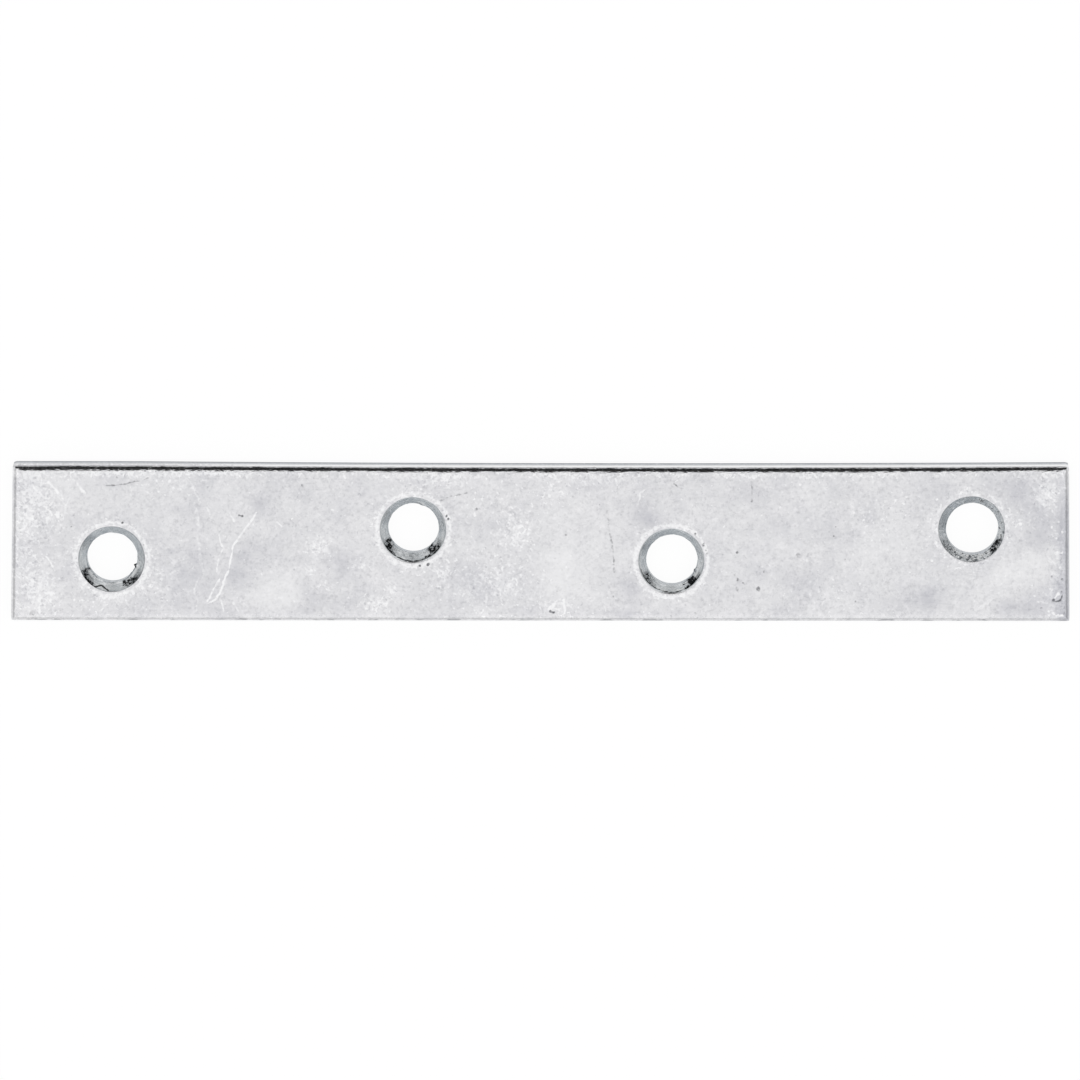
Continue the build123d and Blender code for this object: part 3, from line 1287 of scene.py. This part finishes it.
    def name_wear(self, flat: np.ndarray) -> None:
        """Say at each vertex how worn, rubbed, rolled, torn or gritty the surface is.

        Args:
            flat: Each vertex in millimetres, as modelled.
        """
        traces = self.traces
        rim = self.from_rim(flat)
        front = self.upper(flat)
        face = front & (rim > 0)
        far_side = self.width / 2 - flat[:, 1]
        near_side = self.width / 2 + flat[:, 1]
        line = self.line_beside_roll(flat) * face
        pecked = traces.pecked_share * smooth(*traces.pecked, rim) * face
        growing = smooth(*traces.polish_grows, flat[:, 0])
        polish = traces.least_polish + (1 - traces.least_polish) * growing
        painted_lip_shade = smooth(*traces.lip, rim) * (rim < traces.lip_end)
        values = {
            "wear": self.touched(Touch.PEPPERED, flat) + line + pecked,
            "rub": self.touched(Touch.RUBBED, flat) - self.touched(Touch.DULLED, flat),
            "halo": np.maximum(self.ringed(flat) * face, traces.line_in_ring * line),
            "roll": self.rolled(flat),
            "polish": polish * smooth(*traces.polished, far_side) * front,
            "sill": smooth(*traces.sill, near_side) * front,
            "torn": smooth(*traces.torn, flat[:, 2]),
            # painted shade just inside each mouth and at each cone's foot
            "lip": painted_lip_shade + smooth(*traces.foot, rim),
            # painted dark reflections, and painted shade along the folds and lip arcs
            "stain": self.stained(flat),
            "crease": self.creased(flat),
            "grit": self.gritty(flat),
        }
        for name, share in values.items():
            self.name_values(name, share)

    def touched(self, touch: Touch, flat: np.ndarray) -> np.ndarray:
        """How strongly one kind of touch holds at each vertex."""
        return sum(self.patch_share(patch, flat) for patch in self.patches[touch])

    def patch_share(self, patch: Patch, flat: np.ndarray) -> np.ndarray:
        """Lay one patch on the plate, falling off softly from its middle.

        Args:
            patch: The patch.
            flat: Each vertex in millimetres, as modelled.

        Returns:
            How strongly it holds at each vertex.
        """
        turn = math.radians(patch.turn)
        away = flat[:, :2] - np.array(patch.centre)
        along = (away[:, 0] * math.cos(turn) + away[:, 1] * math.sin(turn)) / patch.reach[0]
        across = (away[:, 1] * math.cos(turn) - away[:, 0] * math.sin(turn)) / patch.reach[1]
        return patch.strength * np.exp(-(along**2 + across**2))

    def line_beside_roll(self, flat: np.ndarray) -> np.ndarray:
        """Draw the uneven pale line beside the roll of the +Y side.

        Args:
            flat: Each vertex in millimetres, as modelled.

        Returns:
            How strong it is at each vertex.
        """
        line = bell(self.width / 2 - flat[:, 1], self.traces.line_in, self.traces.line_reach)
        uneven = 0.9 + 0.7 * ripple(flat, 7.0, 33.0) + 0.5 * ripple(flat, 1.6, 37.0)
        return line * np.clip(uneven, 0.1, 1.4)

    def ringed(self, flat: np.ndarray) -> np.ndarray:
        """Draw the ragged, flattened ring round each mouth.

        Args:
            flat: Each vertex in millimetres, as modelled.

        Returns:
            How strong it is at each vertex.
        """
        rim = self.from_rim(flat)
        ragged = rim + 0.16 * ripple(flat, 0.5, 3.0) + 0.1 * ripple(flat, 1.9, 8.0)
        shine = np.zeros(len(flat))
        for hole in self.holes:
            away = flat[:, :2] - np.array(hole.cone_centre)
            shine[np.linalg.norm(away, axis=1) < self.ring_reach] = hole.work.halo
        return bell(ragged, self.traces.ring_out, self.traces.ring_reach) * shine

    def rolled(self, flat: np.ndarray) -> np.ndarray:
        """Shine the rolled edges, less where the +Y side is dull.

        Args:
            flat: Each vertex in millimetres, as modelled.

        Returns:
            How smoothly each vertex was rolled.
        """
        traces = self.traces
        along = flat[:, 0]
        dulled = traces.dull_end_share * smooth(*traces.dull_end, along)
        dulled += traces.dull_spot_share * bell(along, *traces.dull_spot)
        dulled *= self.width / 2 - flat[:, 1] < traces.side_band
        return smooth(*traces.rolled, self.from_edge(flat)) * (1 - dulled)

    def cones(self, flat: np.ndarray) -> Iterator[tuple[ScrewHole, np.ndarray, np.ndarray]]:
        """Each hole, with the place of each vertex from its cone's middle and how far down it is.

        Args:
            flat: Each vertex in millimetres, as modelled.

        Yields:
            The hole, the places seen from above, and the depths with the cone's foot at 1.
        """
        around = 3.5  # the widest mouth, softened lip and all, lies within this
        elsewhere = -9.0  # so far above the cone that no trace is there
        for hole in self.holes:
            away = flat[:, :2] - np.array(hole.cone_centre)
            depth = self.thickness - self.hole_form.cone_foot(hole, self.thickness)
            down = (self.thickness - flat[:, 2]) / depth
            yield hole, away, np.where(np.linalg.norm(away, axis=1) < around, down, elsewhere)

    def stained(self, flat: np.ndarray) -> np.ndarray:
        """Paint the dark reflections on the cones and down the bores.

        Args:
            flat: Each vertex in millimetres, as modelled.

        Returns:
            How strongly each vertex is painted dark, about 1 where a painted reflection is full.
        """
        sides = (1.5, 0.5)  # in half widths, from where a painted reflection starts to where it is full
        outside = 0.12  # its ends fade in from this far outside them, in cone depths,
        inside = 0.08  # to this far inside
        found = np.zeros(len(flat))
        for hole, away, down in self.cones(flat):
            for stain in hole.work.stains:
                share = smooth(*sides, off_angle(away, stain.angle) / stain.half_width)
                share *= smooth(stain.start - outside, stain.start + inside, down)
                share *= smooth(stain.end + outside, stain.end - inside, down)
                found = np.maximum(found, stain.strength * share)
        return found

    def creased(self, flat: np.ndarray) -> np.ndarray:
        """Paint shade along the folds of the cones, and a dark reflection along their lip arcs.

        Args:
            flat: Each vertex in millimetres, as modelled.

        Returns:
            How near each vertex is to one of them, with 1 where it lies on it.
        """
        fold_edge = (0.12, 0.03)  # millimetres, from where the painted shade along a fold starts to where it is full
        arc_ends = (1.12, 0.88)  # the same for a painted lip arc, in its half widths
        found = np.zeros(len(flat))
        for hole, away, down in self.cones(flat):
            for fold in hole.work.folds:
                lies = smooth(*fold_edge, distance_to_path(away, fold)) * (down > -1)
                found = np.maximum(found, lies)
            crease = hole.work.crease
            if crease:
                share = smooth(*arc_ends, off_angle(away, crease.angle) / crease.half_width)
                share *= bell(down, crease.down, crease.half_thickness)
                found = np.maximum(found, share)
        return found

    def gritty(self, flat: np.ndarray) -> np.ndarray:
        """Press scale into the cones, least on one side of them.

        Args:
            flat: Each vertex in millimetres, as modelled.

        Returns:
            How much of it each vertex has.
        """
        clean_side = 155.0  # degrees round the hole
        clean_sector = (35.0, 85.0)  # degrees from there, where it gets dirty and is so all over
        low = (0.4, -0.6)  # in Y, as a share of the cone's radius, where most scale lies
        found = np.zeros(len(flat))
        for hole in self.holes:
            away = flat[:, :2] - np.array(hole.cone_centre)
            here = np.linalg.norm(away, axis=1) < self.cone_reach
            low_part = smooth(*low, away[:, 1] / self.hole_form.sink_radius)
            dirty_part = smooth(*clean_sector, off_angle(away, clean_side))
            # some all over, more on the dirty side, and most where that side is low
            share = 0.25 + dirty_part * (0.3 + 0.45 * low_part)
            found[here] = (hole.work.grit * share)[here]
        return found

    def bruise_edges(self, at: np.ndarray, flat: np.ndarray) -> None:
        """Let the rolled edges start unevenly, with small bruises.

        Args:
            at: Each vertex in millimetres, which this moves.
            flat: The same as modelled.
        """
        outer = (0.02, 0.25)  # millimetres in from the outline, where the bruises start
        inner = (1.1, 0.6)  # and where they end
        edge = self.from_edge(flat)
        zone = smooth(*inner, edge) * smooth(*outer, edge) * self.upper(flat)
        drop = 0.5 + 0.5 * ripple(flat, 2.3, 11.0) + 0.7 * ripple(flat, 0.8, 5.0)
        at[:, 2] -= self.edges.dents * np.clip(drop, 0, None) * zone

    def true_cones(self, at: np.ndarray, flat: np.ndarray) -> None:
        """Keep each cone's own slope all round, also where its bore has drifted.

        Args:
            at: Each vertex in millimetres, which this moves.
            flat: The same as modelled.
        """
        slack = 0.001  # takes the foot's own ring in, and leaves the lip's last ring out
        for hole, away, down in self.cones(flat):
            reach = np.linalg.norm(away, axis=1)
            lip_end, level = self.section(hole)[self.hole_form.lip_steps]
            here = (down > 0) & (reach < lip_end - slack) & (down < 1 + slack)
            at[here, 2] = level - (lip_end - reach[here])

    def tear_bores(self, at: np.ndarray, flat: np.ndarray) -> None:
        """Roughen the top of each bore and pull its burrs inwards.

        Args:
            at: Each vertex in millimetres, which this moves.
            flat: The same as modelled.
        """
        wide = 0.3  # millimetres of the cone that the tearing reaches
        high = 0.32  # and above and below its foot
        for hole in self.holes:
            away = flat[:, :2] - np.array(hole.bore_centre)
            reach = np.linalg.norm(away, axis=1)
            height = np.abs(flat[:, 2] - self.hole_form.cone_foot(hole, self.thickness))
            near = (reach < hole.bore_radius + wide) * smooth(high, 0.0, height)
            inward = hole.work.ragged * (0.4 + 1.2 * ripple(flat, 0.35, 9.0))
            for burr in hole.work.burrs:
                bite = bell(off_angle(away, burr.angle), 0.0, burr.half_width)
                inward += burr.inward * bite * (1 + 0.6 * ripple(flat, 0.3, 21.0))
            push = (near * inward / np.maximum(reach, 1e-6))[:, None]
            at[:, :2] -= away * push

    def cut_marks(self, at: np.ndarray, flat: np.ndarray) -> None:
        """Cut each mark into the front and name it for the finish.

        Args:
            at: Each vertex in millimetres, which this moves.
            flat: The same as modelled.
        """
        widest = 0.6  # no mark reaches further from its path
        blur = 0.06  # half the width of a mark's soft edge
        front = flat[:, 2] > self.thickness - 2 * NEAR
        shaken = flat[:, :2].copy()
        for sway, size, seeds in ((0.1, 0.9, (41.0, 53.0)), (0.05, 0.35, (43.0, 59.0))):
            shaken += sway * np.stack([ripple(flat, size, seed) for seed in seeds], 1)
        named = np.zeros(len(flat))
        for mark in self.marks:
            away = distance_to_path(shaken, mark.path)
            close = np.flatnonzero((away < widest) & front)
            uneven = away[close] + 0.07 * ripple(flat[close], 0.4, 17.0)
            beads = 0.5 * ripple(flat[close], 0.7, 29.0) + 0.4 * ripple(flat[close], 0.3, 61.0)
            faint = np.clip(1 + beads, 0.35, 1.1)
            share = np.zeros(len(flat))
            share[close] = faint * smooth(mark.width / 2 + blur, mark.width / 2 - blur, uneven)
            at[:, 2] -= mark.depth * share
            value = mark.tone.value * mark.strength * share
            named = np.where(np.abs(value) > np.abs(named), value, named)
        self.name_values("mark", named)

    def crop_outline(self, at: np.ndarray, flat: np.ndarray) -> None:
        """Give the outline its own four corners and its hollow side, inside the nominal size.

        Args:
            at: Each vertex in millimetres, which this moves.
            flat: The same as modelled.
        """
        form = self.edges
        half = np.array([self.length / 2, self.width / 2])
        for (end, side), corner in form.corners.items():
            here = (np.sign(flat[:, 0]) == end) & (np.sign(flat[:, 1]) == side)
            out = np.clip((np.abs(flat[:, :2]) - half) / corner.radius + 1, 0, None)
            reach = np.maximum(np.linalg.norm(out, axis=1), 1e-9)
            pull = (out - out * (out.max(1) / reach)[:, None]) * corner.radius
            rounded = here & (out > 0).all(1)
            at[rounded, :2] -= (pull * np.array([end, side]))[rounded]
        share = (flat[:, 1] / half[1] + 1) / 2
        for end in (-1, 1):
            low, high = (form.corners[(end, side)].draw_in for side in (-1, 1))
            start, full = (half[0] - inward for inward in form.end_zone)
            at[:, 0] -= end * (low + (high - low) * share) * smooth(start, full, flat[:, 0] * end)
        start, full = (half[1] - inward for inward in form.side_zone)
        along = (flat[:, 0] - form.hollow_middle) / form.hollow_reach
        drawn = form.hollow * np.clip(1 - along**2, 0, None)
        at[:, 1] -= drawn * smooth(start, full, flat[:, 1])

    # Finish

    def dress(self) -> None:
        """Give each stretch of the surface its finish, smooth the curves and keep sharp edges."""
        mesh = self.piece.data
        for finish in FINISHES:
            mesh.materials.append(finish.material())
        middles = np.empty(len(mesh.polygons) * 3)
        mesh.polygons.foreach_get("center", middles)
        middles = middles.reshape(-1, 3) / MM
        height = middles[:, 2]
        off_back = height > NEAR / 2
        outer_wall = self.from_edge(middles) < self.edges.wall_zone
        below_roll = height < self.thickness - self.edges.roll_drop
        in_hole = (self.from_rim(middles) < -NEAR) & off_back
        index = np.full(len(middles), FINISHES.index(ZINC_FACE))
        index[outer_wall & below_roll & off_back] = FINISHES.index(SHEARED_WALL)
        index[in_hole] = FINISHES.index(PIERCED_BORE)
        for hole in self.holes:
            reach = np.linalg.norm(middles[:, :2] - np.array(hole.bore_centre), axis=1)
            on_cone = (reach > hole.bore_radius + NEAR) & (reach < self.cone_reach)
            above_break = height > self.thickness / 4
            index[in_hole & on_cone & above_break] = FINISHES.index(PRESSED_CONE)
        mesh.polygons.foreach_set("material_index", index)
        self.pick()
        bpy.ops.object.shade_smooth_by_angle(angle=math.radians(30))

    def seat(self) -> None:
        """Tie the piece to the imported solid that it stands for."""
        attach(self.piece, "root")
        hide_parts(NODE)


# ---------------------------------------------------------------------------------------------
# The studio
# ---------------------------------------------------------------------------------------------


@dataclass(frozen=True)
class Card:
    """A sheet of card that stands round the plate, placed in degrees as seen from the plate."""

    way: float  # from +Y towards +X
    lean: Point  # from straight up, where the card starts and ends
    half_width: float
    level: float  # its brightness, where the white room's is 1
    soft: float  # half the width of its soft edge


CARDS = (
    Card(way=0.0, lean=(12.0, 70.0), half_width=12.0, level=0.015, soft=5.0),
    Card(way=-60.0, lean=(77.0, 100.0), half_width=17.0, level=0.03, soft=3.0),
    Card(way=60.0, lean=(77.0, 100.0), half_width=17.0, level=0.03, soft=3.0),
    Card(way=0.0, lean=(76.0, 110.0), half_width=40.0, level=0.52, soft=4.0),
    Card(way=0.0, lean=(74.0, 86.0), half_width=40.0, level=0.84, soft=4.0),
    Card(way=174.0, lean=(66.0, 110.0), half_width=46.0, level=0.75, soft=8.0),
    Card(way=90.0, lean=(46.0, 130.0), half_width=50.0, level=0.6, soft=14.0),
    Card(way=-90.0, lean=(46.0, 130.0), half_width=50.0, level=0.62, soft=14.0),
)


@dataclass(frozen=True)
class Studio:
    """A white room with a few cards round the plate, and the camera that looks down on it."""

    lens: float = 350.0
    sensor: float = 36.0
    clip: Point = (0.05, 20.0)  # metres, the nearest and the furthest that the camera sees
    frame_width: float = 102.0  # millimetres of the plate that the picture's width takes in
    pitch: float = 10.0  # degrees that the camera leans towards +Y from straight above
    roll: float = 0.055  # degrees
    aim: Point = (-0.05, -0.03)  # millimetres, right and up in the picture
    floor_size: float = 4.0  # metres
    floor_gap: float = 0.02  # millimetres under the plate's back
    seen_paper: Point = (0.08, 0.94)  # the share of its own white that the camera sees, and a glow
    mirrored_paper: Point = (0.4, 0.6)  # the same for what the plate mirrors
    cards: tuple[Card, ...] = CARDS

    def build(self) -> None:
        """Make the camera, the floor and the light."""
        self.add_camera()
        self.add_floor()
        self.light()

    def add_camera(self) -> None:
        """Put the camera where the plate fills the picture from end to end."""
        data = bpy.data.cameras.new("camera")
        data.lens = self.lens
        data.sensor_width = self.sensor
        data.clip_start, data.clip_end = self.clip
        camera = bpy.data.objects.new("camera", data)
        lean = math.radians(self.pitch)
        back = Vector((0.0, math.sin(lean), math.cos(lean)))
        up = Vector((0.0, math.cos(lean), -math.sin(lean)))
        right = Vector((1.0, 0.0, 0.0))
        turn = Matrix((right, up, back)).transposed().to_4x4()
        turn = turn @ Matrix.Rotation(math.radians(self.roll), 4, "Z")
        away = self.frame_width / self.sensor * self.lens
        middle = right * self.aim[0] + up * self.aim[1]
        camera.matrix_world = Matrix.Translation((middle + back * away) * MM) @ turn
        bpy.context.scene.collection.objects.link(camera)
        bpy.context.scene.camera = camera

    def add_floor(self) -> None:
        """Lay the pale floor just under the plate."""
        bpy.ops.object.select_all(action="DESELECT")
        bpy.ops.mesh.primitive_plane_add(size=self.floor_size, location=(0, 0, -self.floor_gap * MM))
        floor = bpy.context.object
        floor.name = "floor"
        floor.data.materials.append(self.paper())

    def paper(self) -> bpy.types.Material:
        """Build the white paper, which glows where it is seen, so that it stays white there.

        Returns:
            The new material.
        """
        material = bpy.data.materials.new("white_paper_sweep")
        material.use_nodes = True
        tree = material.node_tree
        tree.nodes.clear()
        by_camera = add_node(tree, "LightPath", take="Is Camera Ray")
        through = add_node(tree, "LightPath", take="Is Transmission Ray")
        mirrored = add_node(tree, "LightPath", take="Is Glossy Ray")
        seen = add_node(tree, "Math", {0: by_camera, 1: through}, operation="MAXIMUM")
        white = 1.0
        glow = 0.0
        for ray, (kept, added) in ((seen, self.seen_paper), (mirrored, self.mirrored_paper)):
            dimmed = {0: ray, 1: kept - 1.0, 2: white}
            white = add_node(tree, "Math", dimmed, operation="MULTIPLY_ADD")
            lit = {0: ray, 1: added, 2: glow}
            glow = add_node(tree, "Math", lit, operation="MULTIPLY_ADD")
        matt = add_node(tree, "BsdfDiffuse", {"Color": white})
        light = add_node(tree, "Emission", {"Color": (1, 1, 1, 1), "Strength": glow})
        surface = add_node(tree, "AddShader", {0: matt, 1: light})
        add_node(tree, "OutputMaterial", {"Surface": surface})
        return material

    def light(self) -> None:
        """Light the plate from a white room with its cards."""
        world = bpy.data.worlds.new("white_room")
        bpy.context.scene.world = world
        world.use_nodes = True
        tree = world.node_tree
        tree.nodes.clear()
        towards = add_node(tree, "TexCoord", take="Generated")
        level = 1.0
        for card in self.cards:
            shaded = {0: self.card_mask(tree, towards, card), 1: card.level - 1.0, 2: 1.0}
            passed = add_node(tree, "Math", shaded, operation="MULTIPLY_ADD")
            level = add_node(tree, "Math", {0: passed, 1: level}, operation="MULTIPLY")
        by_camera = add_node(tree, "LightPath", take="Is Camera Ray")
        level = add_node(tree, "Math", {0: level, 1: by_camera}, operation="MAXIMUM")
        sky = add_node(tree, "Background", {"Color": (1, 1, 1, 1), "Strength": level})
        add_node(tree, "OutputWorld", {"Surface": sky})

    def card_mask(
        self, tree: bpy.types.NodeTree, towards: bpy.types.NodeSocket, card: Card
    ) -> bpy.types.NodeSocket:
        """Add the nodes that say which part of the room a card covers.

        Args:
            tree: The world's node tree.
            towards: The direction that light comes from.
            card: The card.

        Returns:
            1 on the card and 0 off it.
        """
        way = math.radians(card.way)
        forward = (math.sin(way), math.cos(way), 0.0)
        sideways = (math.cos(way), -math.sin(way), 0.0)
        ahead, aside = (
            add_node(tree, "VectorMath", {0: towards, 1: axis}, take="Value", operation="DOT_PRODUCT")
            for axis in (forward, sideways)
        )
        up = add_node(tree, "SeparateXYZ", {0: towards}, take="Z")
        lean = add_node(tree, "Math", {0: ahead, 1: up}, operation="ARCTAN2")
        width = add_node(tree, "Math", {0: aside}, operation="ARCSINE")
        width = add_node(tree, "Math", {0: width}, operation="ABSOLUTE")
        covered = 1.0
        limits = ((lean, card.lean[0], 1), (lean, card.lean[1], -1), (width, card.half_width, -1))
        for angle, limit, sense in limits:
            inside = add_node(
                tree,
                "MapRange",
                {
                    "Value": angle,
                    "From Min": math.radians(limit - sense * card.soft),
                    "From Max": math.radians(limit + sense * card.soft),
                },
                interpolation_type="SMOOTHSTEP",
            )
            covered = add_node(tree, "Math", {0: inside, 1: covered}, operation="MULTIPLY")
        return covered


def main() -> None:
    """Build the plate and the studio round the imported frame."""
    logging.basicConfig(level=logging.INFO, format="%(name)s: %(message)s")
    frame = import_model()
    plate = MendingPlate.from_frame(frame["record"])
    piece = plate.model()
    plate.dress()
    plate.seat()
    triangles = sum(len(face.vertices) - 2 for face in piece.data.polygons)
    log.info("%s: %d triangles", piece.name, triangles)
    Studio().build()
    bpy.context.scene.view_settings.view_transform = "Standard"


if __name__ == "__main__":
    main()
